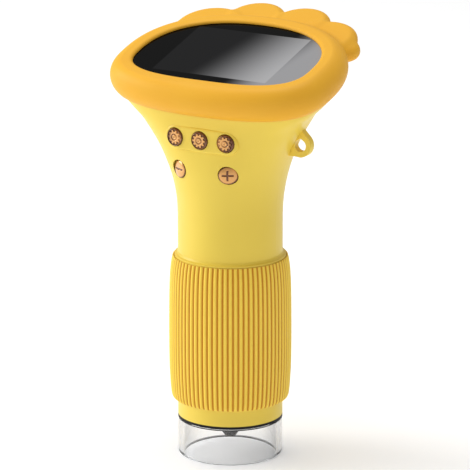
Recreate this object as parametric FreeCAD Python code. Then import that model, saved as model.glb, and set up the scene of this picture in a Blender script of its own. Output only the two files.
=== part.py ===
import FreeCAD, Part

import math
import os

# Handheld children's digital microscope, FreeCAD 1.1 script, millimetres.
# Frame: the origin is the centre of the clear hood's lower rim, on the surface that it stands on.
# +Z runs up the optical axis, -Y is the side with the buttons, +X is the right-hand side with the lanyard lug.
# The head carries a screen whose face leans back, so head parts are drawn flat in a (x, d, n) frame, with d
# towards the rear edge of the screen and n out of the glass, and are then tilted into place.

os.makedirs("parts", exist_ok=True)
Vector = FreeCAD.Vector

# ---------------------------------------------------------------- driving dimensions
BODY_R = 16.8            # neck, collar and hood outside radius
WALL = 2.0               # moulded shell wall
FIT = 0.1                # gap between pieces that slide or drop into each other
PRESS = 0.0              # gap where one piece is pressed or glued onto another

# screen and head
SCREEN_TILT = 15.0       # lean of the screen face, degrees
SCREEN_Y = 0.95          # centre of the display, on the glass face
SCREEN_Z = 131.0
LCD_W, LCD_D, LCD_T = 44.0, 32.4, 2.2
WINDOW_A = 30.9          # half width of the window in the bezel
WINDOW_FRONT = 15.8      # from the window's widest line to its front edge
WINDOW_REAR = 24.7       # from the window's widest line to its rear edge
WINDOW_LINE = -4.0       # where the widest line lies, behind (+) or before (-) the display centre
POWER_FRONT = 3.0        # squareness of the front half of the window outline
POWER_REAR = 2.28        # squareness of its rear half
GLASS_T = 1.1
GLASS_LAP = 1.3          # how far the glass runs under the bezel's lip
LIP_T = 0.75             # thickness of the bezel's lip over the glass

# bezel
TUBE_OFFSET = 2.8        # centre of the bezel's round section, outside the window edge
TUBE_W, TUBE_H = 5.0, 5.7    # half width and half height of that section
TUBE_N = -4.6            # height of its centre below the glass
CREST_T = 5.2            # thickness of the scalloped crest
CREST_ROUND = 2.2
CREST_LOBES = (          # x, d, radius and top of each lobe of the crest's right half
    (8.2, 29.5, 10.0, -1.2),
    (20.5, 21.2, 11.6, -1.2),
    (29.6, 20.2, 4.6, -2.6),
)

# shell
NECK_FOOT = 66.0         # lower end of the neck
NECK_TOP = 80.0          # where the neck starts to flare
SEAM = 0.05              # step in the wall there, inside and outside
NECK_R = BODY_R - SEAM
FLARE_N = -10.0          # end of the flare, below the glass
FLARE_OFFSET = 4.0       # outline there, outside the window edge
FRONT_WALL = 18.7        # the front of the shell behind the buttons, from the optical axis
RIM_N = -3.2             # top of the shell's rim
RIM_OFFSET = 4.8
LEDGE_Z, LEDGE_T, LEDGE_BORE = 74.6, 1.8, 10.6
FOOT_FLANGE_R, FLANGE_DROP = 17.85, 0.4

# lanyard lug
LUG_X, LUG_Z = 25.8, 105.0
LUG_R, LUG_T = 3.9, 2.4
LUG_HOLE_X, LUG_HOLE_Z, LUG_HOLE_R = 26.0, 104.9, 2.0
LUG_POINT, LUG_HOLE_POINT = 1.42, 1.2    # how many radii the points of the loop and of its hole stand up

# buttons
CAP_R, CAP_GAP, CAP_RISE = 2.85, 0.2, 0.6
CAP_TRAVEL = 0.4
FLANGE_T = 0.8
PAD_Y, PAD_Z, PAD_HALF, PAD_R, PAD_CROWN = -19.4, 107.3, 9.15, 4.0, 90.0
PAD_ROUND = 0.9          # rounding of the pad's front edge
SIDE_X, SIDE_Z = 8.8, 96.5
BUTTONS = {
    "left_gear_button": (-PAD_HALF, PAD_Z),
    "middle_gear_button": (0.0, PAD_Z),
    "right_gear_button": (PAD_HALF, PAD_Z),
    "minus_button": (-SIDE_X, SIDE_Z),
    "plus_button": (SIDE_X, SIDE_Z),
}
SIDE_SHELF_Y = -12.95    # inside face that stops the flange of a minus or plus button
PAD_SHELF_Y = -16.5      # the same for the three buttons of the pad
SIDE_SKIN_R = 18.75      # radius of the wall at the height of the minus and plus buttons
SWITCH_TOP_Y = -11.85    # resting height of the switch plungers
BOARD_Y, BOARD_T = -9.6, 1.2
BUTTON_SCREWS_Z = (93.9, 100.8)

# optics
COLLAR_FOOT, COLLAR_TOP = 13.1, 18.4
TUBE_R, TUBE_BORE = 15.6, 14.0
SPIGOT_R = 14.7
TUBE_SCREW_ANGLES, TUBE_SCREW_CIRCLE = (30, 150, 270), 12.65
SENSOR_Z, SENSOR_T = 59.0, 1.2
SENSOR_SCREW_ANGLES, SENSOR_SCREW_CIRCLE = (45, 225), 12.4
LENS_R = 13.85           # sliding land of the lens carriage
BARREL_R, BARREL_BORE = 8.8, 7.6
NOSE_TIP_Z, NOSE_TIP_R, NOSE_BASE_Z = 5.6, 1.8, 14.8
LENS_FOOT, LENS_HEAD = 28.0, 46.0
REAR_LENS_Z = 22.5       # seat of the rear lens
PIN_Z, PIN_R = 37.0, 1.0
FOCUS_TRAVEL = 4.0       # of the lens, up and down
FOCUS_TURN = 90.0        # of the ring, each way, degrees

# focus ring
GRIP_FOOT, GRIP_TOP = 18.7, 65.8
RING_TOP = NECK_FOOT - FLANGE_DROP - 0.2     # top of the sleeve and of the grip's recess
GRIP_BORE = 17.4
GRIP_R_MID, GRIP_R_TOP, GRIP_R_FOOT = 19.68, 19.0, 18.9
RIBS, RIB_GROOVE_W, RIB_GROOVE_D = 72, 0.6, 0.45
CAM_BORE = 15.8
DRAG_Z, DRAG_SECTION = 60.5, 0.5             # height and section radius of the rubber drag ring
DRAG_CENTRE_R = CAM_BORE - 0.03 - DRAG_SECTION

# light plate and clear hood
PLATE_FOOT, PLATE_RIM_T = 12.3, 0.8
SLEEVE_R, SLEEVE_BORE = 15.5, 14.9
PLATE_Z, PLATE_T, PLATE_BORE = 16.6, 0.8, 9.4
PLATE_SCREW_ANGLES, PLATE_SCREW_CIRCLE = (0, 135, 225), 11.9
LED_CIRCLE, LED_COUNT = 11.9, 8
HOOD_T, HOOD_ROUND = 2.0, 1.0
SPIGOT_LENGTH = 3.2

# head electronics
CARRIER_LAP, CARRIER_FLOOR = 2.2, 1.1
GLUE = 0.02              # layer between pieces that are glued or soldered together
MAIN_N, MAIN_T = -12.2, 1.2          # underside of the main board and its thickness
MAIN_W, MAIN_FRONT, MAIN_REAR = 42.0, -12.0, 16.4
SCREW_R, SCREW_HEAD_R, SCREW_HEAD_T, PILOT_GAP = 0.8, 1.5, 1.0, 0.05
CARRIER_SCREWS = ((-27.6, -8.5), (27.6, -8.5), (-26.4, 7.5), (26.4, 7.5))    # x, d
MAIN_POSTS = ((-17.5, -9.5), (17.5, -9.5), (-18.5, 11.0), (18.5, 11.0))      # x, d
USB_X, USB_W, USB_H, USB_L = -8.0, 8.9, 3.2, 7.4
CARD_X, CARD_W, CARD_H, CARD_L = 10.0, 13.0, 1.9, 14.5

# battery
CRADLE_FOOT = LEDGE_Z + LEDGE_T + 0.1
CRADLE_T = 1.4
BATTERY_W, BATTERY_D, BATTERY_H = 23.0, 6.2, 31.0
FLEX_Y = 6.6             # where the camera's flexible circuit passes the battery

RIM_POINTS = 24          # points round each outline
Z_AXIS = Vector(0, 0, 1)
Y_AXIS = Vector(0, 1, 0)


# ---------------------------------------------------------------- helpers
def save(name, shape):
    shape.exportStep(f"parts/{name}.step")


def group(shapes):
    return Part.makeCompound(shapes)


def disc(radius, foot, height, x=0.0, y=0.0):
    return Part.makeCylinder(radius, height, Vector(x, y, foot))


def tube(outer, inner, foot, height):
    return disc(outer, foot, height).cut(disc(inner, foot - 1, height + 2))


def post_y(radius, y_from, y_to, x, z):
    """A round post along Y, from y_from (front) to y_to (rear)."""
    return Part.makeCylinder(radius, y_to - y_from, Vector(x, y_from, z), Y_AXIS)


def block(width, depth, height, centre):
    corner = Vector(centre[0] - width / 2, centre[1] - depth / 2, centre[2] - height / 2)
    return Part.makeBox(width, depth, height, corner)


def revolve(points):
    """A solid of revolution about Z from a closed polygon of (radius, z)."""
    wire = Part.makePolygon([Vector(r, 0, z) for r, z in points + points[:1]])
    return Part.Face(wire).revolve(Vector(0, 0, 0), Z_AXIS, 360)


def turned(shape, degrees):
    copy = shape.copy()
    copy.rotate(Vector(0, 0, 0), Z_AXIS, degrees)
    return copy


def round_edges(shape, radius, wanted):
    edges = [edge for edge in shape.Edges if wanted(edge)]
    return shape.makeFillet(radius, edges) if edges else shape


def in_head(shape):
    """Moves a shape drawn in the flat (x, d, n) frame of the screen to its place in the head."""
    copy = shape.copy()
    copy.rotate(Vector(0, 0, 0), Vector(1, 0, 0), SCREEN_TILT)
    copy.translate(Vector(0, SCREEN_Y, SCREEN_Z))
    return copy


def head_point(x, d, n):
    tilt = math.radians(SCREEN_TILT)
    y = SCREEN_Y + d * math.cos(tilt) - n * math.sin(tilt)
    z = SCREEN_Z + d * math.sin(tilt) + n * math.cos(tilt)
    return Vector(x, y, z)


def oval(half_width, front, rear, power_front, power_rear, centre=0.0):
    """Points of a closed outline: one rounded-square curve for the rear half and one for the front half."""
    points = []
    for k in range(RIM_POINTS):
        angle = 2 * math.pi * k / RIM_POINTS
        depth, power = (rear, power_rear) if math.sin(angle) >= 0 else (front, power_front)
        across, along = abs(math.cos(angle) / half_width), abs(math.sin(angle) / depth)
        radius = (across ** power + along ** power) ** (-1 / power)
        points.append((radius * math.cos(angle), centre + radius * math.sin(angle)))
    return points


def window(offset):
    """The window's outline, grown by offset, as (x, d) points."""
    return oval(WINDOW_A + offset, WINDOW_FRONT + offset, WINDOW_REAR + offset,
                POWER_FRONT, POWER_REAR, WINDOW_LINE)


def closed_curve(vectors):
    curve = Part.BSplineCurve()
    curve.interpolate(Points=vectors, PeriodicFlag=True)
    return Part.Wire(curve.toShape())


def window_wire(offset, n):
    return closed_curve([Vector(x, d, n) for x, d in window(offset)])


def window_prism(offset, n_from, n_to):
    return Part.Face(window_wire(offset, n_from)).extrude(Vector(0, 0, n_to - n_from))


def bent_path(points, bend):
    """Straight runs joined by tangent arcs of radius bend."""
    points = [Vector(*p) for p in points]
    edges, start = [], points[0]
    for before, corner, after in zip(points, points[1:], points[2:]):
        into, out = (corner - before).normalize(), (after - corner).normalize()
        turn = into.getAngle(out)
        cut = bend * math.tan(turn / 2)
        a, b = corner - into * cut, corner + out * cut
        middle = corner + (out - into).normalize() * (bend / math.cos(turn / 2) - bend)
        edges.append(Part.LineSegment(start, a).toShape())
        edges.append(Part.Arc(a, middle, b).toShape())
        start = b
    edges.append(Part.LineSegment(start, points[-1]).toShape())
    return Part.Wire(edges)


def lead(points, radius, bend):
    """A round insulated lead along a bent path."""
    path = bent_path(points, bend)
    way = Vector(*points[1]) - Vector(*points[0])
    circle = Part.Wire(Part.makeCircle(radius, Vector(*points[0]), way))
    return path.makePipeShell([circle], True, False)


def ribbon(points, width, thickness, bend):
    """A flat flexible circuit: a strip bent in the YZ plane and extruded along X."""
    centre = bent_path([(0, y, z) for y, z in points], bend)
    side = centre.makeOffset2D(thickness, join=0, fill=True, openResult=True)
    strip = side.extrude(Vector(width, 0, 0))
    strip.translate(Vector(-width / 2, 0, 0))
    return strip


# ---------------------------------------------------------------- head shell
def flare_sections(inset):
    """Outlines of the flared part of the shell, from the round neck to the rim under the bezel."""
    flare_foot = NECK_TOP
    flare_axis = head_point(0, WINDOW_LINE, FLARE_N)
    rows = []
    for share in (0.0, 0.05, 0.12, 0.25, 0.38, 0.5, 0.62, 0.74, 0.87, 1.0):
        half_width = BODY_R + (WINDOW_A + FLARE_OFFSET - BODY_R) * share ** 2.05
        rear = BODY_R + (WINDOW_REAR + FLARE_OFFSET - BODY_R) * share ** 1.6
        swell = min(share / 0.55, 1.0)
        front = BODY_R + (FRONT_WALL - BODY_R) * swell * swell * (3 - 2 * swell)
        front += (WINDOW_FRONT + FLARE_OFFSET - FRONT_WALL) * max(0.0, share - 0.55) ** 2 / 0.45 ** 2
        ease = share * share * (3 - 2 * share)
        slope = math.radians(SCREEN_TILT) * ease
        origin = Vector(0, flare_axis.y * ease, flare_foot + (flare_axis.z - flare_foot) * share)
        outline = oval(half_width - inset, front - inset, rear - inset,
                       2 + (POWER_FRONT - 2) * share ** 3, 2 + (POWER_REAR - 2) * share ** 2)
        rows.append([origin + Vector(x, y * math.cos(slope), y * math.sin(slope)) for x, y in outline])
    for share in (0.4, 1.0):
        offset = FLARE_OFFSET + (RIM_OFFSET - FLARE_OFFSET) * share - inset
        n = FLARE_N + (RIM_N - FLARE_N) * share
        rows.append([head_point(x, d, n) for x, d in window(offset)])
    return rows


def flare(inset):
    return Part.makeLoft([closed_curve(row) for row in flare_sections(inset)], True, False)


def neck():
    """The straight neck with the flange at its foot and the inner ledge that the optics tube is screwed to."""
    radius, bore = NECK_R, BODY_R - WALL + SEAM
    foot = NECK_FOOT - FLANGE_DROP
    ledge_top = LEDGE_Z + LEDGE_T
    flange_top = NECK_FOOT + 0.35
    return revolve([(bore, foot), (FOOT_FLANGE_R, foot), (FOOT_FLANGE_R, flange_top),
                    (radius + 0.35, flange_top + 0.35), (radius, flange_top + 0.95), (radius, NECK_TOP), (bore, NECK_TOP), (bore, ledge_top),
                    (LEDGE_BORE, ledge_top), (LEDGE_BORE, LEDGE_Z), (bore, LEDGE_Z)])


def button_pad():
    """The low raised pad, slightly crowned, that carries the three upper buttons."""
    length, depth = 2 * PAD_HALF, 4.0
    capsule = Part.makeBox(length, depth, 2 * PAD_R, Vector(-PAD_HALF, PAD_Y, PAD_Z - PAD_R))
    ends = [post_y(PAD_R, PAD_Y, PAD_Y + depth, x, PAD_Z) for x in (-PAD_HALF, PAD_HALF)]
    crown = Part.makeCylinder(PAD_CROWN, 4 * PAD_R, Vector(0, PAD_Y + PAD_CROWN, PAD_Z - 2 * PAD_R))
    pad = capsule.fuse(ends).common(crown).removeSplitter()
    return round_edges(pad, PAD_ROUND, lambda edge: edge.BoundBox.YMax < PAD_Y + 1.5)


def lug():
    """The lanyard loop on the right-hand side: a drop-shaped plate that runs up and in to the flared wall."""
    inwards = LUG_R + 3.0
    foot = Part.makeBox(inwards, LUG_T - 0.2, 1.4, Vector(LUG_X - inwards, 0.1 - LUG_T / 2, LUG_Z - LUG_R + 0.1))
    return drop(LUG_X, LUG_Z, LUG_R, LUG_T, LUG_POINT).fuse(foot)


def drop(x, z, radius, thickness, reach):
    """A flat drop shape about (x, z): a circle whose point stands reach radii above its centre."""
    centre = Vector(x, -thickness / 2, z)
    half = math.acos(1 / reach)
    side, rise = radius * math.sin(half), radius * math.cos(half)
    left, right = centre + Vector(-side, 0, rise), centre + Vector(side, 0, rise)
    low, tip = centre - Vector(0, 0, radius), centre + Vector(0, 0, reach * radius)
    edges = [Part.Arc(left, low, right).toShape(), Part.LineSegment(right, tip).toShape(),
             Part.LineSegment(tip, left).toShape()]
    return Part.Face(Part.Wire(edges)).extrude(Vector(0, thickness, 0))


def head_shell():
    outside = flare(0.0)
    shell = outside.fuse(lug()).fuse(button_pad())
    shell = shell.cut(flare(WALL))
    shell = shell.fuse(neck())
    bosses = []
    for x, d in CARRIER_SCREWS:
        bosses.append(in_head(disc(2.5, -26, 26 + carrier_underside(), x, d)))
    for z in BUTTON_SCREWS_Z:
        bosses.append(post_y(2.2, PAD_Y + 1, BOARD_Y - FIT / 2, 0, z))
    for boss in bosses:
        shell = shell.fuse(boss.common(outside))
    cuts = [drop(LUG_HOLE_X, LUG_HOLE_Z, LUG_HOLE_R, LUG_T + 0.2, LUG_HOLE_POINT)]
    for x, d in CARRIER_SCREWS:
        cuts.append(in_head(disc(SCREW_R + PILOT_GAP, carrier_underside() - 6, 7, x, d)))
    for z in BUTTON_SCREWS_Z:
        cuts.append(post_y(SCREW_R + PILOT_GAP, BOARD_Y - 5, BOARD_Y + 1, 0, z))
    for angle in TUBE_SCREW_ANGLES:
        x, y = ring_place(TUBE_SCREW_CIRCLE, angle)
        cuts.append(disc(SCREW_R + 0.3, LEDGE_Z - 1, LEDGE_T + 2, x, y))
    for name, (x, z) in BUTTONS.items():
        shelf = PAD_SHELF_Y if z == PAD_Z else SIDE_SHELF_Y
        flange = flange_radius(name) + 0.25
        cuts.append(post_y(CAP_R + CAP_GAP, -24, -8, x, z))
        cuts.append(post_y(flange, shelf, -8, x, z))
    cuts.append(in_head(rear_slot(USB_X, MAIN_N - USB_H / 2, USB_W + 0.6, USB_H + 0.6, 1.6)))
    cuts.append(in_head(rear_slot(CARD_X, MAIN_N - CARD_H / 2, 12.0, 1.7, 0.6)))
    for cut in cuts:
        shell = shell.cut(cut)
    return shell


def rear_slot(x, n, width, height, corner):
    """A rounded slot cut through the rear wall, along the screen frame's depth."""
    slot = block(width, 20, height, (x, 24, n))
    return round_edges(slot, corner, lambda edge: abs(edge.tangentAt(edge.FirstParameter).y) > 0.9)


def ring_place(radius, degrees):
    return radius * math.cos(math.radians(degrees)), radius * math.sin(math.radians(degrees))


def carrier_underside():
    return -GLASS_T - LCD_T - 0.35 - CARRIER_FLOOR


def flange_radius(name):
    return 3.6 if name.endswith("gear_button") else 3.4


# ---------------------------------------------------------------- bezel
def bezel():
    """The soft orange rim round the screen, with its scalloped crest, clipped over the shell's rim."""
    rows = []
    for degrees in (-78, -60, -40, -20, 0, 20, 40, 58, 74, 84):
        angle = math.radians(degrees)
        offset = TUBE_OFFSET + TUBE_W * math.cos(angle)
        rows.append(window_wire(offset, TUBE_N + TUBE_H * math.sin(angle)))
    rim = Part.makeLoft(rows, True, False)
    crest = []
    for side in (-1, 1):
        for x, d, radius, top in CREST_LOBES:
            lobe = disc(radius, top - CREST_T, CREST_T, side * x, d)
            middle = top - CREST_T / 2
            crest.append(round_edges(lobe, CREST_ROUND, lambda edge: abs(edge.CenterOfMass.z - middle) > 1))
    body = rim.fuse(crest)
    seat = Part.makeLoft([window_wire(FLARE_OFFSET + FIT, FLARE_N - 1.5),
                          window_wire(RIM_OFFSET + FIT, RIM_N + FIT)], True, True)
    tray = window_prism(CARRIER_LAP + 2 * FIT, RIM_N - 1, -GLASS_T + 0.1)
    glass = window_prism(GLASS_LAP + 1.5 * FIT, -GLASS_T - 1, FIT / 2)
    mouth = window_prism(0.0, -1, 4)
    slope = Part.makeLoft([window_wire(0.0, LIP_T - 0.25), window_wire(1.1, LIP_T + 0.6)], True, True)
    return in_head(body.cut([seat, tray, glass, mouth, slope]))


# ---------------------------------------------------------------- display and main board
def screen_glass():
    return in_head(window_prism(GLASS_LAP, -GLASS_T, 0.0))


def lcd_panel():
    return in_head(block(LCD_W, LCD_D, LCD_T, (0, 0, -GLASS_T - LCD_T / 2 - GLUE)))


def display_carrier():
    """A tray that holds the display under the glass; its posts carry the main board."""
    tray = window_prism(CARRIER_LAP, carrier_underside(), -GLASS_T - FIT / 2)
    pocket_middle = carrier_underside() + CARRIER_FLOOR + LCD_T / 2 + 2
    pocket = block(LCD_W + 0.6, LCD_D + 0.6, LCD_T + 4, (0, 0, pocket_middle))
    post_height = carrier_underside() - MAIN_N - MAIN_T + 0.2
    posts = [disc(2.0, MAIN_N + MAIN_T, post_height, x, d) for x, d in MAIN_POSTS]
    tray = tray.cut(pocket).fuse(posts)
    cuts = [block(17, 2.4, 4, (0, -12.5, carrier_underside()))]
    for x, d in CARRIER_SCREWS:
        cuts.append(disc(SCREW_R + 0.2, carrier_underside() - 1, 8, x, d))
        cuts.append(disc(SCREW_HEAD_R + 0.25, -GLASS_T - SCREW_HEAD_T - 0.4, 4, x, d))
    for x, d in MAIN_POSTS:
        cuts.append(disc(SCREW_R + PILOT_GAP, MAIN_N + MAIN_T - 1, 5, x, d))
    return in_head(tray.cut(cuts))


def screw(length):
    """A pan-head screw along +Z: shank from 0 up to the underside of the head, with a cross recess."""
    head = round_edges(disc(SCREW_HEAD_R, length, SCREW_HEAD_T), 0.35,
                       lambda edge: edge.CenterOfMass.z > length + SCREW_HEAD_T * 0.9)
    shank = disc(SCREW_R, 0, length)
    top = (0, 0, length + SCREW_HEAD_T)
    return head.fuse(shank).cut([block(1.6, 0.4, 1.0, top), block(0.4, 1.6, 1.0, top)])


def carrier_screws():
    length = 6.0
    top = -GLASS_T - SCREW_HEAD_T - 0.35
    screws = []
    for x, d in CARRIER_SCREWS:
        one = screw(length)
        one.translate(Vector(x, d, top - length))
        screws.append(in_head(one))
    return group(screws)


def main_board():
    depth = MAIN_REAR - MAIN_FRONT
    board = block(MAIN_W, depth, MAIN_T, (0, (MAIN_REAR + MAIN_FRONT) / 2, MAIN_N + MAIN_T / 2))
    board = round_edges(board, 2.0, lambda edge: abs(edge.tangentAt(edge.FirstParameter).z) > 0.9)
    holes = [disc(SCREW_R + 0.2, MAIN_N - 1, 4, x, d) for x, d in MAIN_POSTS]
    return in_head(board.cut(holes))


def board_screws():
    length = MAIN_T + 3.4
    screws = []
    for x, d in MAIN_POSTS:
        one = screw(length)
        one.rotate(Vector(0, 0, 0), Vector(1, 0, 0), 180)
        one.translate(Vector(x, d, MAIN_N + length))
        screws.append(in_head(one))
    return group(screws)


def chip(width, depth, height, x, d):
    body = block(width, depth, height, (x, d, MAIN_N - height / 2 - FIT / 2))
    mark = disc(0.4, MAIN_N - height - 0.25, 0.3, x - width / 2 + 1.0, d - depth / 2 + 1.0)
    return in_head(body.cut(mark))


def usb_socket():
    """A metal receptacle shell with its contact tongue, open to the rear."""
    n = MAIN_N - USB_H / 2 - FIT / 2
    rear = MAIN_REAR + 2.2
    can = block(USB_W, USB_L, USB_H, (USB_X, rear - USB_L / 2, n))
    can = round_edges(can, 1.45, lambda edge: abs(edge.tangentAt(edge.FirstParameter).y) > 0.9)
    mouth = block(USB_W - 0.6, USB_L, USB_H - 0.6, (USB_X, rear - USB_L / 2 + 0.8, n))
    mouth = round_edges(mouth, 1.2, lambda edge: abs(edge.tangentAt(edge.FirstParameter).y) > 0.9)
    tongue = block(6.6, USB_L - 1.6, 0.7, (USB_X, rear - USB_L / 2 - 0.6, n))
    return in_head(can.cut(mouth).fuse(tongue))


def card_socket():
    n = MAIN_N - CARD_H / 2 - FIT / 2
    rear = MAIN_REAR + 0.6
    case = block(CARD_W, CARD_L, CARD_H, (CARD_X, rear - CARD_L / 2, n))
    bay = block(11.2, CARD_L - 1.5, 1.1, (CARD_X, rear - CARD_L / 2 + 1.5, n - 0.1))
    return in_head(case.cut(bay))


def flex_connector(d, width):
    return in_head(block(width, 2.6, 1.2, (0, d, MAIN_N + MAIN_T + 0.6 + FIT / 2)))


def lcd_flex():
    """The display's flexible circuit: out of the panel, through the tray's floor and down to the main board."""
    top = -GLASS_T - LCD_T - 0.15 - 2 * GLUE
    foot = MAIN_N + MAIN_T + 0.75
    strip = ribbon([(-10.5, top), (-12.6, top), (-12.6, foot + 1.2), (-9.2, foot + 1.2)], 14.0, 0.15, 0.7)
    return in_head(strip)


# ---------------------------------------------------------------- buttons
def gear_outline(radius, depth, teeth, n):
    points = []
    for k in range(teeth):
        for share, r in ((0.0, radius - depth), (0.2, radius), (0.55, radius), (0.75, radius - depth)):
            angle = 2 * math.pi * (k + share) / teeth
            points.append(Vector(r * math.cos(angle), n, r * math.sin(angle)))
    return Part.makePolygon(points + points[:1])


def gear_button(x, z):
    """A round cap with a raised gear ring, a flange behind the wall and a post down to its switch."""
    top = PAD_Y - CAP_RISE + x * x / (2 * PAD_CROWN)
    cap = post_y(CAP_R, top, PAD_SHELF_Y + 0.6, x, z)
    cap = round_edges(cap, 0.45, lambda edge: edge.CenterOfMass.y < top + 0.01)
    gear = Part.Face(gear_outline(2.25, 0.4, 10, top - 0.22)).extrude(Vector(0, 0.5, 0))
    gear.translate(Vector(x, 0, z))
    ring = post_y(1.15, top - 1, top + 0.1, x, z)
    hub = post_y(0.55, top - 0.22, top + 0.5, x, z)
    flange = post_y(flange_radius("gear_button"), PAD_SHELF_Y + 0.05, PAD_SHELF_Y + FLANGE_T, x, z)
    post = post_y(1.6, PAD_SHELF_Y, SWITCH_TOP_Y - 0.05, x, z)
    return cap.fuse(gear).cut(ring).fuse([hub, flange, post])


def side_button(x, z, plus):
    """A cap whose face follows the round wall, with an engraved minus or plus sign."""
    skin = Part.makeCylinder(SIDE_SKIN_R + 0.45, 20, Vector(0, 0, z - 10))
    cap = post_y(CAP_R, -22, SIDE_SHELF_Y + 0.6, x, z).common(skin)
    engraving = Part.makeCylinder(SIDE_SKIN_R + 2, 20, Vector(0, 0, z - 10)).cut(
        Part.makeCylinder(SIDE_SKIN_R + 0.15, 20, Vector(0, 0, z - 10)))
    bars = [block(3.6, 14, 0.65, (x, -18, z))]
    if plus:
        bars.append(block(0.65, 14, 3.6, (x, -18, z)))
    sign = bars[0].fuse(bars[1:]) if plus else bars[0]
    cap = cap.cut(sign.common(engraving))
    flange = post_y(flange_radius("side"), SIDE_SHELF_Y + 0.05, SWITCH_TOP_Y - 0.05, x, z)
    return cap.fuse(flange)


def switch_plunger(x, z):
    return post_y(1.1, SWITCH_TOP_Y, SWITCH_TOP_Y + 1.5, x, z)


def switch_bases():
    height = BOARD_Y - SWITCH_TOP_Y - CAP_TRAVEL - 0.25
    bases = []
    for x, z in BUTTONS.values():
        base = block(4.6, height, 4.6, (x, BOARD_Y - height / 2, z))
        bases.append(base.cut(post_y(1.2, BOARD_Y - height - 1, BOARD_Y - 0.15, x, z)))
    return group(bases)


def button_board():
    height = 20.2
    board = block(24.4, BOARD_T, height, (0, BOARD_Y + BOARD_T / 2, 92.2 + height / 2))
    corner = block(3.4, 4, 3.4, (12.2, BOARD_Y + BOARD_T / 2, 92.2))
    corner.rotate(Vector(12.2, BOARD_Y, 92.2), Y_AXIS, 45)
    other = corner.mirror(Vector(0, 0, 0), Vector(1, 0, 0))
    holes = [post_y(SCREW_R + 0.2, BOARD_Y - 1, BOARD_Y + 3, 0, z) for z in BUTTON_SCREWS_Z]
    return board.cut([corner, other] + holes)


def button_screws():
    screws = []
    for z in BUTTON_SCREWS_Z:
        one = screw(4.6)
        one.rotate(Vector(0, 0, 0), Vector(1, 0, 0), -90)
        one.translate(Vector(0, BOARD_Y + BOARD_T - 4.6, z))
        screws.append(one)
    return group(screws)


# ---------------------------------------------------------------- battery
def battery_cradle():
    base = disc(SPIGOT_R - 0.15, CRADLE_FOOT, CRADLE_T)
    wall_x = BATTERY_W / 2 + 0.9
    walls = [block(1.2, BATTERY_D + 2.0, 15.0, (x, 0, CRADLE_FOOT + 7.5)) for x in (-wall_x, wall_x)]
    floor_holes = [disc(SCREW_HEAD_R + 0.3, CRADLE_FOOT - 1, 4, *ring_place(TUBE_SCREW_CIRCLE, a))
                   for a in TUBE_SCREW_ANGLES]
    slot = block(10, 3.0, 8, (0, FLEX_Y, CRADLE_FOOT))
    wires = block(5, 3.0, 8, (0, FLEX_Y + 2.4, CRADLE_FOOT))
    return base.fuse(walls).common(disc(SPIGOT_R - 0.15, CRADLE_FOOT, 20)).cut(floor_holes + [slot, wires])


def battery():
    cell = block(BATTERY_W, BATTERY_D, BATTERY_H, (0, 0, CRADLE_FOOT + CRADLE_T + BATTERY_H / 2 + 0.1))
    return round_edges(cell, 1.8, lambda edge: abs(edge.tangentAt(edge.FirstParameter).z) > 0.9)


def battery_leads():
    top = CRADLE_FOOT + CRADLE_T + BATTERY_H + 0.1
    end = head_point(0, 3.0, MAIN_N - 0.2)
    leads = []
    for x in (-1.2, 1.2):
        route = [(x - 6, 0, top), (x - 6, 0, top + 3.2), (x - 6, end.y, top + 4.6), (x - 6, end.y, end.z)]
        leads.append(lead(route, 0.55, 0.9))
    return group(leads)


# ---------------------------------------------------------------- optics tube and its fittings
def optics_tube():
    """The fixed inner tube: the visible collar below, the bore for the lens carriage, and a spigot into the neck."""
    top = LEDGE_Z - 0.1
    tube_profile = [(SLEEVE_R + FIT / 2, COLLAR_FOOT), (BODY_R, COLLAR_FOOT), (BODY_R, COLLAR_TOP),
                    (TUBE_R, COLLAR_TOP), (TUBE_R, NECK_FOOT - 0.6), (SPIGOT_R, NECK_FOOT - 0.6), (SPIGOT_R, top),
                    (LEDGE_BORE, top), (LEDGE_BORE, top - 1.6), (12.6, top - 1.6), (12.6, top - 6),
                    (TUBE_BORE, top - 9), (TUBE_BORE, 18.6), (SLEEVE_R + FIT / 2, 18.6)]
    body = revolve(tube_profile)
    bosses = []
    for angle in TUBE_SCREW_ANGLES:
        x, y = ring_place(TUBE_SCREW_CIRCLE, angle)
        bosses.append(disc(1.9, top - 6.5, 6.5, x, y).common(disc(SPIGOT_R, top - 7, 7)))
    for angle in PLATE_SCREW_ANGLES:
        x, y = ring_place(PLATE_SCREW_CIRCLE, angle)
        bosses.append(disc(2.5, 18.6, 4.6, x, y).common(disc(TUBE_R - 0.4, 18.6, 5)))
    for angle in SENSOR_SCREW_ANGLES:
        x, y = ring_place(SENSOR_SCREW_CIRCLE, angle)
        bosses.append(disc(2.0, SENSOR_Z - 6, 6 - FIT / 2, x, y).common(disc(TUBE_R - 0.4, SENSOR_Z - 7, 8)))
    body = body.fuse(bosses)
    cuts = [radial_slot(0), radial_slot(180), tube_groove()]
    for angle in TUBE_SCREW_ANGLES:
        x, y = ring_place(TUBE_SCREW_CIRCLE, angle)
        cuts.append(disc(SCREW_R + PILOT_GAP, top - 5.5, 8, x, y))
    for angle in PLATE_SCREW_ANGLES:
        x, y = ring_place(PLATE_SCREW_CIRCLE, angle)
        cuts.append(disc(SCREW_R + PILOT_GAP, 17, 6, x, y))
    for angle in SENSOR_SCREW_ANGLES:
        x, y = ring_place(SENSOR_SCREW_CIRCLE, angle)
        cuts.append(disc(SCREW_R + PILOT_GAP, SENSOR_Z - 4, 6, x, y))
    return body.cut(cuts)


def radial_slot(angle):
    """The straight slot that a guide pin travels in."""
    reach = FOCUS_TRAVEL + 0.1
    half = PIN_R + FIT
    start = TUBE_BORE - 2
    slot = Part.makeBox(6, 2 * half, 2 * reach, Vector(start, -half, PIN_Z - reach))
    ends = [Part.makeCylinder(half, 6, Vector(start, 0, z), Vector(1, 0, 0)) for z in (PIN_Z - reach, PIN_Z + reach)]
    return turned(slot.fuse(ends), angle)


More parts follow.
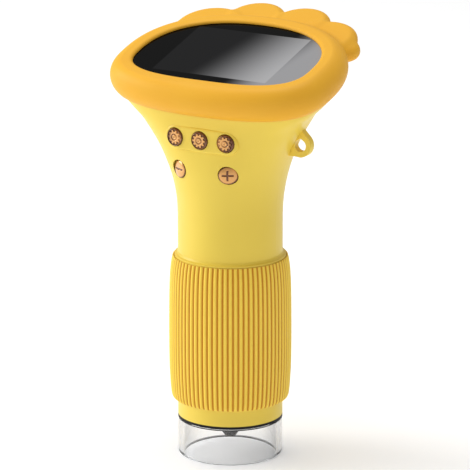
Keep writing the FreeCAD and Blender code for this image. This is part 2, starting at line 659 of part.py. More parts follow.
def tube_groove():
    """The groove for the rubber ring that gives the focus ring its drag."""
    return revolve([(DRAG_CENTRE_R - 0.55, DRAG_Z - 0.6), (TUBE_R + 1, DRAG_Z - 0.6),
                    (TUBE_R + 1, DRAG_Z + 0.6), (DRAG_CENTRE_R - 0.55, DRAG_Z + 0.6)])


def drag_ring():
    return Part.makeTorus(DRAG_CENTRE_R, DRAG_SECTION, Vector(0, 0, DRAG_Z))


def tube_screws():
    screws = []
    for angle in TUBE_SCREW_ANGLES:
        one = screw(6.6)
        one.translate(Vector(*ring_place(TUBE_SCREW_CIRCLE, angle), LEDGE_Z + LEDGE_T - 6.6))
        screws.append(one)
    return group(screws)


def sensor_board():
    board = disc(TUBE_BORE - 0.3, SENSOR_Z, SENSOR_T)
    notch = block(6.4, 4, 4, (0, TUBE_BORE - 0.6, SENSOR_Z))
    places = [ring_place(SENSOR_SCREW_CIRCLE, angle) for angle in SENSOR_SCREW_ANGLES]
    return board.cut([notch] + [disc(SCREW_R + 0.2, SENSOR_Z - 1, 4, x, y) for x, y in places])


def image_sensor():
    package = block(9.0, 9.0, 1.3, (0, 0, SENSOR_Z - 0.65 - FIT / 2))
    window_cut = block(6.6, 5.2, 0.6, (0, 0, SENSOR_Z - 1.3 - FIT / 2))
    return package.cut(window_cut)


def sensor_screws():
    screws = []
    for angle in SENSOR_SCREW_ANGLES:
        one = screw(4.6)
        one.translate(Vector(*ring_place(SENSOR_SCREW_CIRCLE, angle), SENSOR_Z + SENSOR_T - 4.6))
        screws.append(one)
    return group(screws)


def sensor_flex():
    """The camera's flexible circuit, from the sensor board up past the battery to the main board."""
    end = head_point(0, 6.0, MAIN_N - 0.3)
    start = SENSOR_Z + SENSOR_T + 0.15
    return ribbon([(2.0, start), (FLEX_Y, start), (FLEX_Y, end.z - 3.0), (end.y, end.z)], 6.0, 0.15, 1.2)


# ---------------------------------------------------------------- lens carriage
def lens_carriage():
    """The black sliding carriage: a guided skirt, the lens barrel and the conical nose, turned as one piece."""
    profile = [(1.2, NOSE_TIP_Z), (NOSE_TIP_R, NOSE_TIP_Z), (BARREL_R, NOSE_BASE_Z), (BARREL_R, LENS_FOOT),
               (LENS_R, LENS_FOOT), (LENS_R, LENS_HEAD), (12.4, LENS_HEAD), (12.4, LENS_FOOT + 1.5),
               (BARREL_BORE, LENS_FOOT + 1.5), (BARREL_BORE, REAR_LENS_Z), (6.5, REAR_LENS_Z), (6.5, 15.6),
               (2.6, 10.6), (2.6, 8.0), (1.5, 8.0)]
    body = revolve(profile)
    rear_notch = block(5.0, 6.0, 60, (0, LENS_R + 1.0, 40))
    pins = [Part.makeCylinder(PIN_R, 8, Vector(9, 0, PIN_Z), Vector(1, 0, 0))]
    pins.append(turned(pins[0], 180))
    return body.cut([rear_notch] + pins)


def guide_pins():
    one = Part.makeCylinder(PIN_R - PRESS, 17.1 - 12.2, Vector(12.2, 0, PIN_Z), Vector(1, 0, 0))
    return group([one, turned(one, 180)])


def dome_lens(radius, foot, edge, rise):
    """A lens with a flat lower face and a domed upper face."""
    ball = (radius * radius + rise * rise) / (2 * rise)
    cap = Part.makeSphere(ball, Vector(0, 0, foot + edge + rise - ball))
    return disc(radius, foot, edge + rise).common(cap)


def lens_retainer():
    foot = REAR_LENS_Z + 3.1
    ring = tube(BARREL_BORE - 0.05, 6.2, foot, 1.5)
    return ring.cut([block(1.0, 30, 1.2, (0, 0, foot + 1.5))])


# ---------------------------------------------------------------- focus ring
def grip_profile(shift):
    """The barrel-shaped side of the grip as one curve in the XZ plane, moved in by shift."""
    middle = (GRIP_FOOT + GRIP_TOP) / 2 - 3.0
    heights = ((GRIP_R_FOOT - 0.9, GRIP_FOOT), (GRIP_R_FOOT - 0.15, GRIP_FOOT + 0.7),
               (GRIP_R_FOOT + 0.2, GRIP_FOOT + 3.0), (GRIP_R_MID - 0.12, GRIP_FOOT + 10.0), (GRIP_R_MID, middle),
               (GRIP_R_MID - 0.14, GRIP_TOP - 11.0), (GRIP_R_TOP + 0.25, GRIP_TOP - 5.0),
               (GRIP_R_TOP - 0.2, GRIP_TOP - 2.2), (GRIP_R_TOP - 0.55, GRIP_TOP))
    curve = Part.BSplineCurve()
    curve.interpolate([Vector(r - shift, 0, z) for r, z in heights])
    return curve.toShape()


def focus_grip():
    """The ribbed rubber grip, pressed over the cam sleeve."""
    side = grip_profile(0.0)
    low, high = side.Vertexes[0].Point, side.Vertexes[-1].Point
    recess = FOOT_FLANGE_R + 0.2
    rest = Part.makePolygon([high, Vector(recess, 0, GRIP_TOP), Vector(recess, 0, RING_TOP),
                             Vector(GRIP_BORE, 0, RING_TOP), Vector(GRIP_BORE, 0, GRIP_FOOT), low])
    barrel = Part.Face(Part.Wire([side] + rest.Edges)).revolve(Vector(0, 0, 0), Z_AXIS, 360)
    floor = grip_profile(RIB_GROOVE_D)
    a, b = floor.Vertexes[0].Point, floor.Vertexes[-1].Point
    out = GRIP_R_MID + 2
    box = Part.makePolygon([b, b + Vector(0, 0, 1), Vector(out, 0, b.z + 1), Vector(out, 0, a.z - 1),
                            a - Vector(0, 0, 1), a])
    cutter = Part.Face(Part.Wire([floor] + box.Edges)).extrude(Vector(0, RIB_GROOVE_W, 0))
    cutter.translate(Vector(0, -RIB_GROOVE_W / 2, 0))
    return barrel.cut([turned(cutter, 360 * k / RIBS) for k in range(RIBS)])


def cam_slot(angle):
    """A helical slot: turning the ring makes a guide pin, and the lens with it, climb or sink."""
    half = PIN_R + 1.5 * FIT
    lead_mm = FOCUS_TRAVEL * 360 / FOCUS_TURN
    depth = GRIP_BORE - CAM_BORE + 2
    middle = (GRIP_BORE + CAM_BORE) / 2
    rise = 2 * FOCUS_TRAVEL
    helix = Part.makeHelix(lead_mm, rise, middle)
    profile = Part.makePolygon([Vector(middle + sx * depth / 2, 0, sz * half) for sx, sz in
                                ((-1, -1), (1, -1), (1, 1), (-1, 1), (-1, -1))])
    channel = Part.Wire(helix.Edges).makePipeShell([profile], True, True)
    ends = []
    for turn, z in ((0, 0), (2 * FOCUS_TURN, rise)):
        end = Part.makeCylinder(half, depth, Vector(middle - depth / 2, 0, z), Vector(1, 0, 0))
        ends.append(turned(end, turn))
    slot = channel.fuse(ends)
    slot.translate(Vector(0, 0, PIN_Z - FOCUS_TRAVEL))
    return turned(slot, angle - FOCUS_TURN)


def cam_sleeve():
    top = RING_TOP
    sleeve = tube(GRIP_BORE - PRESS, CAM_BORE, GRIP_FOOT, top - GRIP_FOOT)
    return sleeve.cut([cam_slot(0), cam_slot(180)])


# ---------------------------------------------------------------- lights and clear hood
def plate_screw_places():
    return [ring_place(PLATE_SCREW_CIRCLE, angle) for angle in PLATE_SCREW_ANGLES]


def led_places():
    return [(22.5 + 360 * k / LED_COUNT) for k in range(LED_COUNT)]


def light_plate():
    """The black cup under the collar: its rim is the dark line above the clear hood."""
    cup = revolve([(SLEEVE_BORE, PLATE_FOOT), (BODY_R, PLATE_FOOT), (BODY_R, PLATE_FOOT + PLATE_RIM_T - 0.05),
                   (SLEEVE_R, PLATE_FOOT + PLATE_RIM_T - 0.05), (SLEEVE_R, PLATE_Z + PLATE_T),
                   (PLATE_BORE, PLATE_Z + PLATE_T), (PLATE_BORE, PLATE_Z), (SLEEVE_BORE, PLATE_Z)])
    holes = [disc(1.7, PLATE_Z - 1, 3, *ring_place(LED_CIRCLE, a)) for a in led_places()]
    holes += [disc(SCREW_R + 0.2, PLATE_Z - 1, 3, x, y) for x, y in plate_screw_places()]
    return cup.cut(holes)


def led_board():
    board = tube(SLEEVE_R - 0.2, PLATE_BORE + 0.2, PLATE_Z + PLATE_T + 0.05, 1.0)
    return board.cut([disc(SCREW_R + 0.2, PLATE_Z, 4, x, y) for x, y in plate_screw_places()])


def leds():
    """The white lamps round the nose, each a small domed package."""
    lamps = []
    for angle in led_places():
        x, y = ring_place(LED_CIRCLE, angle)
        top = PLATE_Z + PLATE_T
        barrel = disc(1.5, top - 1.4, 1.4, x, y)
        dome = Part.makeSphere(1.5, Vector(x, y, top - 1.4)).common(disc(1.5, top - 3, 1.7, x, y))
        lamps.append(barrel.fuse(dome).removeSplitter())
    return group(lamps)


def plate_screws():
    screws = []
    for x, y in plate_screw_places():
        one = screw(5.2)
        one.rotate(Vector(0, 0, 0), Vector(1, 0, 0), 180)
        one.translate(Vector(x, y, PLATE_Z + 5.2))
        screws.append(one)
    return group(screws)


def led_leads():
    """The two leads of the lamp ring, up the rear of the tube, past the lens carriage and through the neck."""
    start = PLATE_Z + PLATE_T + 1.1
    end = head_point(0, 10.2, MAIN_N - 0.2)
    inner = FLEX_Y + 2.5
    leads = []
    for x in (-0.75, 0.75):
        leads.append(lead([(x, 13.2, start), (x, 13.2, 66.0), (x, inner, 71.0), (x, inner, 98.0),
                           (x, end.y, 106.0), (x, end.y, end.z)], 0.5, 3.0))
    return group(leads)


def clear_hood():
    """The clear stand-off tube: it sets the working distance and pulls off downwards."""
    shoulder = PLATE_FOOT - FIT
    spigot = SLEEVE_BORE - FIT
    body = revolve([(BODY_R - HOOD_T, 0), (BODY_R, 0), (BODY_R, shoulder), (spigot, shoulder),
                    (spigot, shoulder + SPIGOT_LENGTH), (spigot - 1.2, shoulder + SPIGOT_LENGTH),
                    (spigot - 1.2, shoulder - 0.6), (BODY_R - HOOD_T, shoulder - 2.2)])
    body = round_edges(body, HOOD_ROUND, lambda e: e.isClosed() and abs(e.CenterOfMass.z) < 0.01
                       and e.Curve.Radius > BODY_R - 0.1)
    return body


# ---------------------------------------------------------------- build
def main():
    save("head_shell", head_shell())
    save("bezel", bezel())
    save("screen_glass", screen_glass())
    save("lcd_panel", lcd_panel())
    save("display_carrier", display_carrier())
    save("carrier_screws", carrier_screws())
    save("main_board", main_board())
    save("board_screws", board_screws())
    save("processor_chip", chip(9.0, 9.0, 1.0, -2.0, -4.0))
    save("power_chip", chip(5.0, 4.0, 0.9, 10.0, -7.5))
    save("usb_socket", usb_socket())
    save("card_socket", card_socket())
    save("lcd_flex", lcd_flex())
    save("flex_connector", flex_connector(-8.2, 15.0))
    save("button_board", button_board())
    save("button_screws", button_screws())
    save("switch_bases", switch_bases())
    for name, (x, z) in BUTTONS.items():
        cap = gear_button(x, z) if z == PAD_Z else side_button(x, z, name == "plus_button")
        save(name, cap)
        save(name.replace("_button", "_plunger"), switch_plunger(x, z))
    save("battery_cradle", battery_cradle())
    save("battery", battery())
    save("battery_leads", battery_leads())
    save("optics_tube", optics_tube())
    save("tube_screws", tube_screws())
    save("drag_ring", drag_ring())
    save("sensor_board", sensor_board())
    save("image_sensor", image_sensor())
    save("sensor_screws", sensor_screws())
    save("sensor_flex", sensor_flex())
    save("lens_carriage", lens_carriage())
    save("guide_pins", guide_pins())
    save("front_lens", dome_lens(2.55, 8.05, 0.8, 0.8))
    save("rear_lens", dome_lens(BARREL_BORE - 0.05, REAR_LENS_Z + 0.05, 1.4, 1.6))
    save("lens_retainer", lens_retainer())
    save("focus_grip", focus_grip())
    save("cam_sleeve", cam_sleeve())
    save("light_plate", light_plate())
    save("led_board", led_board())
    save("leds", leds())
    save("plate_screws", plate_screws())
    save("led_leads", led_leads())
    save("clear_hood", clear_hood())


main()
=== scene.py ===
import math

import bmesh
import bpy
import numpy as np
from mathutils import Matrix, Vector


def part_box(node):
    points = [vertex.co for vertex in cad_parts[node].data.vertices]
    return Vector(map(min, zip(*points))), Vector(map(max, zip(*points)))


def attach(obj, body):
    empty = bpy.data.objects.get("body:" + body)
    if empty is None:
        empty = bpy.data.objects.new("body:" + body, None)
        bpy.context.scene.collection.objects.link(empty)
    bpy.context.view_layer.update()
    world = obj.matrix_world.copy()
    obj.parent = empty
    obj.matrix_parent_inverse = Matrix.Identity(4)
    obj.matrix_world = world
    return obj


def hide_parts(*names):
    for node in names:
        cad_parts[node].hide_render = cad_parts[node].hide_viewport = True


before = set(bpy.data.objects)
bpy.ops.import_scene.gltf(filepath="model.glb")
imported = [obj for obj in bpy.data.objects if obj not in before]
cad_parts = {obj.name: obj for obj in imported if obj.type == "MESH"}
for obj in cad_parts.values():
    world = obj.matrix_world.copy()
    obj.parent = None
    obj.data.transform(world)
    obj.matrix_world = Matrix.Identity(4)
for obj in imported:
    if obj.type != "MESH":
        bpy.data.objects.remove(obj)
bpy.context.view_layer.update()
MM = 0.001

# ------------------------------------------------------------------ camera
# A long lens a good arm's length away, slightly above the instrument and turned towards its right-hand side,
# so that the screen, the buttons and the lanyard loop all show.
AIM_HEIGHT, AIM_TO_THE_RIGHT = 72.062 * MM, 1.498 * MM
CAMERA_TURN, CAMERA_RISE = math.radians(29.875), math.radians(15.317)
CAMERA_DISTANCE, FOCAL_LENGTH = 1.4, 336.2

towards = Vector((math.sin(CAMERA_TURN) * math.cos(CAMERA_RISE),
                  -math.cos(CAMERA_TURN) * math.cos(CAMERA_RISE), math.sin(CAMERA_RISE)))
right_hand = Vector((math.cos(CAMERA_TURN), math.sin(CAMERA_TURN), 0))
aim = right_hand * AIM_TO_THE_RIGHT + Vector((0, 0, AIM_HEIGHT))
camera = bpy.data.objects.new("camera", bpy.data.cameras.new("camera"))
camera.data.lens, camera.data.sensor_width = FOCAL_LENGTH, 36
camera.data.clip_start, camera.data.clip_end = 0.05, 20
up = towards.cross(right_hand)
camera.matrix_world = Matrix((right_hand, up, towards)).transposed().to_4x4()
camera.location = aim + towards * CAMERA_DISTANCE
bpy.context.scene.collection.objects.link(camera)
bpy.context.scene.camera = camera

# ------------------------------------------------------------------ floor and light
# A wide sheet of matt white paper that glows a little of its own, so that only the instrument's soft shadow
# greys it. One soft box stands on the left, a weak warm one on the right, and the largest hangs above.
FLOOR_HALF = 6.0
FLOOR_LEVEL = -0.05 * MM


class Reading:
    """A value inside a material. Sums of such values add the Math nodes that work them out."""

    def __init__(self, tree, socket):
        self.tree, self.socket = tree, socket

    def worked(self, operation, *values):
        maths = self.tree.nodes.new("ShaderNodeMath")
        maths.operation = operation
        for place, value in zip(maths.inputs, values):
            if isinstance(value, Reading):
                self.tree.links.new(value.socket, place)
            else:
                place.default_value = value
        return Reading(self.tree, maths.outputs[0])

    def __add__(self, other): return self.worked("ADD", self, other)
    def __radd__(self, other): return self.worked("ADD", other, self)
    def __sub__(self, other): return self.worked("SUBTRACT", self, other)
    def __rsub__(self, other): return self.worked("SUBTRACT", other, self)
    def __mul__(self, other): return self.worked("MULTIPLY", self, other)
    def __rmul__(self, other): return self.worked("MULTIPLY", other, self)
    def __abs__(self): return self.worked("ABSOLUTE", self)
    def sine(self): return self.worked("SINE", self)
    def cosine(self): return self.worked("COSINE", self)
    def turn_from(self, other): return self.worked("ARCTAN2", self, other)


class Finish:
    """A material in the making, with constants set on its shader's own sockets."""

    def __init__(self, name, **constants):
        self.material = bpy.data.materials.new(name)
        self.material.use_nodes = True
        self.tree = self.material.node_tree
        self.shader = self.tree.nodes["Principled BSDF"]
        for socket, value in constants.items():
            self.shader.inputs[socket.replace("_", " ")].default_value = value

    def node(self, kind, settings={}, inputs={}, output=0):
        made = self.tree.nodes.new("ShaderNode" + kind)
        for name, value in settings.items():
            setattr(made, name, value)
        self.feed(made, inputs)
        return Reading(self.tree, made.outputs[output])

    def feed(self, made, inputs):
        for name, value in inputs.items():
            if isinstance(value, Reading):
                self.tree.links.new(value.socket, made.inputs[name])
            else:
                made.inputs[name].default_value = value

    def place(self):
        """Where a point is on the piece, in metres."""
        return self.node("TexCoord", output="Object")

    def axis(self, direction, place=None):
        """How far a point lies along a direction."""
        from_centre = place or self.place()
        return self.node("VectorMath", {"operation": "DOT_PRODUCT"}, {0: from_centre, 1: direction}, "Value")

    def grain(self, size, detail=3.0, stretch=(1, 1, 1)):
        """Soft random patches about that size, from 0 to 1."""
        stretched = self.node("VectorMath", {"operation": "MULTIPLY"}, {0: self.place(), 1: stretch})
        return self.node("TexNoise", {}, {
            "Vector": stretched, "Scale": 1 / size, "Detail": detail, "Roughness": 0.55})

    def mixed(self, share, first, second):
        """From the first colour to the second as share goes from 0 to 1."""
        return self.node("Mix", {"data_type": "RGBA"}, {0: share, 6: first, 7: second}, 2)

    def band(self, value, start, end):
        """0 before start and 1 after end, with a smooth step between them."""
        return self.node("MapRange", {"interpolation_type": "SMOOTHSTEP"},
                         {"Value": value, "From Min": start, "From Max": end})

    def relief(self, height, depth, strength):
        """A bump of that depth where height goes from 0 to 1."""
        return self.node("Bump", {}, {"Height": height, "Distance": depth, "Strength": strength})

    def done(self, **inputs):
        self.feed(self.shader, {name.replace("_", " "): value for name, value in inputs.items()})
        return self.material


def rgb(red, green, blue):
    return (red, green, blue, 1.0)


paper = Finish("white paper", Roughness=0.9, Emission_Color=(1, 1, 1, 1), Emission_Strength=0.22)
paper_fibres = paper.grain(4 * MM)
paper_colour = paper.mixed(paper_fibres, rgb(0.93, 0.93, 0.93), rgb(0.95, 0.95, 0.95))
floor_mesh = bpy.data.meshes.new("floor")
floor_corners = [
    (x * FLOOR_HALF, y * FLOOR_HALF, FLOOR_LEVEL) for x, y in ((-1, -1), (1, -1), (1, 1), (-1, 1))]
floor_mesh.from_pydata(floor_corners, [], [(0, 1, 2, 3)])
floor = bpy.data.objects.new("floor", floor_mesh)
floor_mesh.materials.append(paper.done(Base_Color=paper_colour))
bpy.context.scene.collection.objects.link(floor)


def soft_lamp(name, place, size, power, warmth=(1, 1, 1)):
    """A square soft box that faces the middle of the instrument."""
    lamp = bpy.data.objects.new(name, bpy.data.lights.new(name, "AREA"))
    lamp.data.shape, lamp.data.size = "SQUARE", size
    lamp.data.energy, lamp.data.color = power, warmth
    lamp.location = place
    lamp.rotation_euler = (Vector(place) - aim).to_track_quat("Z", "Y").to_euler()
    bpy.context.scene.collection.objects.link(lamp)


soft_lamp("left soft box", (-1.0, -0.34, 0.42), 0.6, 6.6)
soft_lamp("right soft box", (0.9, -0.6, 0.3), 0.5, 0.30, (1.0, 0.72, 0.40))
soft_lamp("top soft box", (-0.2, 0.0, 1.3), 0.9, 8.5)
world = bpy.data.worlds.new("studio")
world.use_nodes = True
world.node_tree.nodes["Background"].inputs["Color"].default_value = rgb(1, 1, 1)
world.node_tree.nodes["Background"].inputs["Strength"].default_value = 0.42
bpy.context.scene.world = world
bpy.context.scene.view_settings.view_transform = "Standard"

# ------------------------------------------------------------------ head shell
# The lemon-yellow housing: a flared head on a round neck, injection-moulded in ABS with a fine satin spark
# finish. The lower collar of the optics tube is moulded in the same plastic.
LEMON, LEMON_DEEP = rgb(0.90, 0.68, 0.090), rgb(0.86, 0.63, 0.076)


def paint(material, *nodes):
    """Gives the material to nodes that keep their own mesh."""
    for name in nodes:
        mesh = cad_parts[name].data
        mesh.materials.clear()
        mesh.materials.append(material)


lemon = Finish("lemon moulding", IOR=1.5, Specular_IOR_Level=0.36)
lemon_flow = lemon.grain(30 * MM, 2.0)
lemon_spark = lemon.grain(0.12 * MM, 2.0)
lemon_material = lemon.done(
    Base_Color=lemon.mixed(lemon_flow, LEMON, LEMON_DEEP),
    Roughness=0.36 + 0.08 * lemon_spark,
    Normal=lemon.relief(lemon_spark, 0.012 * MM, 0.5))
paint(lemon_material, "head_shell", "optics_tube")

# ------------------------------------------------------------------ bezel
# The soft orange rim round the screen with its scalloped crest, one piece of soft-touch rubber over ABS,
# clipped over the shell's rim. Its round section runs without a step into the pillow of each petal.
LEAN = math.radians(15)
SCREEN_CENTRE = Vector((0, 0.95, 131)) * MM
HALF_WIDTH, FRONT, REAR, WIDEST = 30.9, 15.8, 24.7, -4.0
FRONT_POWER, REAR_POWER = 3.0, 2.28
RIM_CENTRE, RIM_HALF_W, RIM_HALF_H, RIM_LEVEL = 2.8, 5.0, 5.7, -4.6
RIM_FLAT = 1.07
PETALS = ((8.2, 29.5, 10.0, -1.2), (20.5, 21.2, 11.6, -1.2), (29.6, 20.2, 4.6, -2.6))
PETAL_T, PETAL_ROUND, BLEND = 5.2, 2.4, 1.1
TURNS, RAYS = 640, 72
HEART_OUT, HEART_UP = 0.6, 0.8
FIRST_RAY, LAST_RAY, FELT_RAYS = math.radians(-80), math.radians(172), 420
SHORTEST_STEP, LONGEST_STEP, STEPS, HALVINGS = 0.4, 24.0, 120, 14
LIP_START, LIP_RAY = 1.1, 1.2
# Offset from the window's edge, and level: the rolled lip, the glass's seat, the groove for the shell's rim.
LIP_AND_SEAT = (
    (0.78, 1.03), (0.48, 0.92), (0.24, 0.74), (0.08, 0.5), (0.0, 0.26), (0.0, 0.06),
    (1.45, 0.06), (1.45, -1.0),
    (2.4, -1.0), (2.4, -3.08), (4.92, -3.08), (4.12, -9.6))


def skin(name, grid, wrap_rows=True):
    """A smooth surface over rows of points. The points of a row form a ring, and the rows do too unless
    wrap_rows is off, in which case the first and the last row are closed with one face each."""
    rows, columns = len(grid), len(grid[0])
    faces = []
    for i in range(rows if wrap_rows else rows - 1):
        for j in range(columns):
            a, b = i * columns, (i + 1) % rows * columns
            faces.append((a + j, a + (j + 1) % columns, b + (j + 1) % columns, b + j))
    if not wrap_rows:
        faces.append(tuple(reversed(range(columns))))
        faces.append(tuple(range((rows - 1) * columns, rows * columns)))
    mesh = bpy.data.meshes.new(name)
    mesh.from_pydata([tuple(point) for row in grid for point in row], [], faces)
    mesh.polygons.foreach_set("use_smooth", [True] * len(faces))
    mesh.validate()
    piece = bpy.data.objects.new(name, mesh)
    bpy.context.scene.collection.objects.link(piece)
    return piece


def outward(piece):
    """Turns the faces so that they all look out of the piece."""
    work = bmesh.new()
    work.from_mesh(piece.data)
    bmesh.ops.recalc_face_normals(work, faces=work.faces)
    work.to_mesh(piece.data)
    work.free()


def sharp_edges(piece, degrees):
    """Keeps edges crisp where the surface turns by more than that many degrees."""
    piece.data.set_sharp_from_angle(angle=math.radians(degrees))


def window_reach(angle, offset):
    """From the middle of the screen to the edge of its window, grown by offset."""
    c, s = np.cos(angle), np.sin(angle)
    depth = np.where(s >= 0, REAR, FRONT) + offset
    power = np.where(s >= 0, REAR_POWER, FRONT_POWER)
    return (np.abs(c / (HALF_WIDTH + offset)) ** power + np.abs(s / depth) ** power) ** (-1 / power)


def in_head(x, d, n):
    """From the flat frame of the screen to the leaning head, in metres."""
    y = SCREEN_CENTRE.y + (d * math.cos(LEAN) - n * math.sin(LEAN)) * MM
    z = SCREEN_CENTRE.z + (d * math.sin(LEAN) + n * math.cos(LEAN)) * MM
    return np.stack([x * MM, y, z], axis=-1)


def smooth_join(a, b, width):
    """The nearer of two distances, with the corner between them rounded over that width."""
    share = np.clip(0.5 + 0.5 * (b - a) / width, 0, 1)
    return b * (1 - share) + a * share - width * share * (1 - share)


def bezel_depth(angle, reach, n):
    """Distance to the bezel's outer skin, negative inside."""
    x, d = reach * np.cos(angle), WIDEST + reach * np.sin(angle)
    middle = window_reach(angle, RIM_CENTRE)
    across, along = np.maximum(reach - middle, 0) / RIM_HALF_W, (n - RIM_LEVEL) / RIM_HALF_H
    size = np.sqrt(across ** 2 + along ** 2)
    found = (size - 1) * RIM_HALF_W
    for side in (-1, 1):
        for cx, cd, radius, top in PETALS:
            out = np.hypot(x - side * cx, d - cd) - (radius - PETAL_ROUND)
            rise = np.abs(n - (top - PETAL_T / 2)) - (PETAL_T / 2 - PETAL_ROUND)
            rounded = np.hypot(np.maximum(out, 0), np.maximum(rise, 0)) - PETAL_ROUND
            pillow = rounded + np.minimum(np.maximum(out, rise), 0)
            found = smooth_join(found, pillow, BLEND)
    return np.maximum(found, n - RIM_FLAT)


# Each section is felt out from a heart inside the rim: along every ray, the first step that leaves the
# rubber, then halving between the last two steps.
turn = np.linspace(0, 2 * math.pi, TURNS, endpoint=False)[:, None]
ray = np.linspace(FIRST_RAY, LAST_RAY, FELT_RAYS)[None, :]
heart, heart_n = window_reach(turn, RIM_CENTRE + HEART_OUT), RIM_LEVEL + HEART_UP
steps = np.linspace(SHORTEST_STEP, LONGEST_STEP, STEPS)
far = np.full((TURNS, FELT_RAYS), LONGEST_STEP)
for step in steps[::-1]:
    outside = bezel_depth(turn, heart + step * np.cos(ray), heart_n + step * np.sin(ray)) > 0
    far = np.where(outside, step, far)
near = far - (steps[1] - steps[0])
for _ in range(HALVINGS):
    half = (near + far) / 2
    inside = bezel_depth(turn, heart + half * np.cos(ray), heart_n + half * np.sin(ray)) < 0
    near, far = np.where(inside, half, near), np.where(inside, far, half)
reach_out, n_out = heart + near * np.cos(ray), heart_n + near * np.sin(ray)
bezel_grid = []
for k in range(TURNS):
    angle = turn[k, 0]
    keep = (reach_out[k] > window_reach(angle, LIP_START)) | (ray[0] < LIP_RAY)
    r, n = reach_out[k][keep], n_out[k][keep]
    run = np.concatenate([[0], np.cumsum(np.hypot(np.diff(r), np.diff(n)))])
    even = np.linspace(0, run[-1], RAYS)
    r, n = np.interp(even, run, r), np.interp(even, run, n)
    r = np.concatenate([r, [window_reach(angle, offset) for offset, _ in LIP_AND_SEAT]])
    n = np.concatenate([n, [level for _, level in LIP_AND_SEAT]])
    bezel_grid.append(in_head(r * math.cos(angle), WIDEST + r * math.sin(angle), n))
bezel = skin("soft_bezel", bezel_grid)
outward(bezel)
sharp_edges(bezel, 50)

ORANGE, ORANGE_WARM = rgb(0.88, 0.475, 0.036), rgb(0.85, 0.415, 0.024)
rubber = Finish("orange soft rubber", IOR=1.45, Specular_IOR_Level=0.28)
rubber_flow = rubber.grain(18 * MM, 2.0)
rubber_grain = rubber.grain(0.16 * MM, 2.0)
bezel.data.materials.append(rubber.done(
    Base_Color=rubber.mixed(rubber_flow, ORANGE, ORANGE_WARM),
    Roughness=0.46 + 0.1 * rubber_grain,
    Normal=rubber.relief(rubber_grain, 0.015 * MM, 0.5)))
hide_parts("bezel")
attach(bezel, "housing")

# ------------------------------------------------------------------ screen
# A hardened cover glass, printed black on its back round the display and bonded into the bezel's seat. Print
# and display turn from near black to grey towards the right: a painted reflection of a soft box in the glass.
ALONG_SCREEN = (0, math.cos(LEAN), math.sin(LEAN))
PICTURE_HALF_W, PICTURE_HALF_D = 20.4 * MM, 15.3 * MM
PRINT_EDGE = 0.12 * MM
PRINT_BLACK, PRINT_REFLECTION_GREY = rgb(0.0006, 0.0006, 0.0006), rgb(0.31, 0.31, 0.32)
DISPLAY_BLACK, DISPLAY_REFLECTION_GREY = rgb(0.009, 0.009, 0.0095), rgb(0.40, 0.40, 0.41)

glass = Finish("cover glass", IOR=1.5, Specular_IOR_Level=0.04)
spot = glass.place()
glass_x = glass.axis((1, 0, 0), spot)
glass_d = glass.axis(ALONG_SCREEN, spot) - SCREEN_CENTRE.dot(Vector(ALONG_SCREEN))
inside_w = 1 - glass.band(abs(glass_x), PICTURE_HALF_W - PRINT_EDGE, PICTURE_HALF_W + PRINT_EDGE)
inside_d = 1 - glass.band(abs(glass_d), PICTURE_HALF_D - PRINT_EDGE, PICTURE_HALF_D + PRINT_EDGE)
across = glass_x * 0.97 - glass_d * 0.22
# The grey towards the right, on the display and on the black print, is a painted reflection of a soft box.
display = glass.mixed(glass.band(across, -5 * MM, 24.5 * MM), DISPLAY_BLACK, DISPLAY_REFLECTION_GREY)
border_painted_reflection = glass.mixed(glass.band(across, 10 * MM, 23 * MM), PRINT_BLACK, PRINT_REFLECTION_GREY)
smears = glass.grain(9 * MM, 4.0)
paint(glass.done(Base_Color=glass.mixed(inside_w * inside_d, border_painted_reflection, display),
                 Roughness=0.07 + 0.06 * smears), "screen_glass")

# ------------------------------------------------------------------ buttons
# Five small keys moulded in ABS and plated golden bronze. Three carry a raised gear round a hub, two are
# domed with a sunk minus or plus. Each stands on a flange behind the wall and presses its own switch.
KEY_RADIUS = 2.85
FLANGE_BACK, FLANGE_T = 0.05, 0.7
FACE_RINGS, FACE_STEPS = 46, 180
PAD_FRONT, PAD_BEND, PAD_RISE, PAD_INSIDE, PAD_POST = -19.4, 90.0, 0.3, -16.5, 1.6
SIDE_BEND, SIDE_RISE, SIDE_INSIDE, SIDE_POST = 18.75, 0.12, -12.95, 2.6
TEETH, PLATE_R, TOOTH_HEIGHT = 10, 1.76, 0.5
RIM_ROLL, RIM_HEIGHT, CHANNEL_R, CHANNEL_DEPTH = 2.50, 0.30, 2.60, 0.34
DISH_R, DISH_DEPTH, HUB_R, HUB_HEIGHT, PIP_R, PIP_DEPTH = 1.18, 0.20, 0.80, 0.24, 0.36, 0.14
DOME_HEIGHT, SIGN_HALF, SIGN_STROKE, SIGN_DEPTH = 0.55, 1.7, 0.28, 0.24
EDGE_SHADE_START, EDGE_SHADE_END = KEY_RADIUS - 0.50, KEY_RADIUS - 0.12
# The darkest bronze is painted shade, for the keys' hollows and their shadowed sides.
BRONZE, BRONZE_WARM, BRONZE_PAINTED_SHADE = rgb(0.80, 0.42, 0.13), rgb(0.72, 0.34, 0.09), rgb(0.16, 0.05, 0.012)


def step_up(value, start, end):
    """0 before start and 1 after end, for numbers, as band is for a material."""
    share = np.clip((value - start) / (end - start), 0, 1)
    return share * share * (3 - 2 * share)


def gear_face(x, z):
    """Height of a gear key's face over its edge: rolled rim, sunk channel, toothed plate, dish, hub, pip."""
    radius, angle = np.hypot(x, z), np.arctan2(z, x)
    plate_edge = PLATE_R + TOOTH_HEIGHT * step_up(np.cos(TEETH * angle), -0.35, 0.35)
    height = RIM_HEIGHT * (1 - step_up(radius, RIM_ROLL, KEY_RADIUS) ** 2)
    height -= CHANNEL_DEPTH * step_up(CHANNEL_R - radius, 0.0, 0.14)
    height += CHANNEL_DEPTH * step_up(plate_edge - radius, -0.06, 0.1)
    height -= DISH_DEPTH * step_up(DISH_R - radius, 0.0, 0.12)
    height += HUB_HEIGHT * step_up(HUB_R - radius, 0.0, 0.12)
    return height - PIP_DEPTH * step_up(PIP_R - radius, 0.0, 0.12)


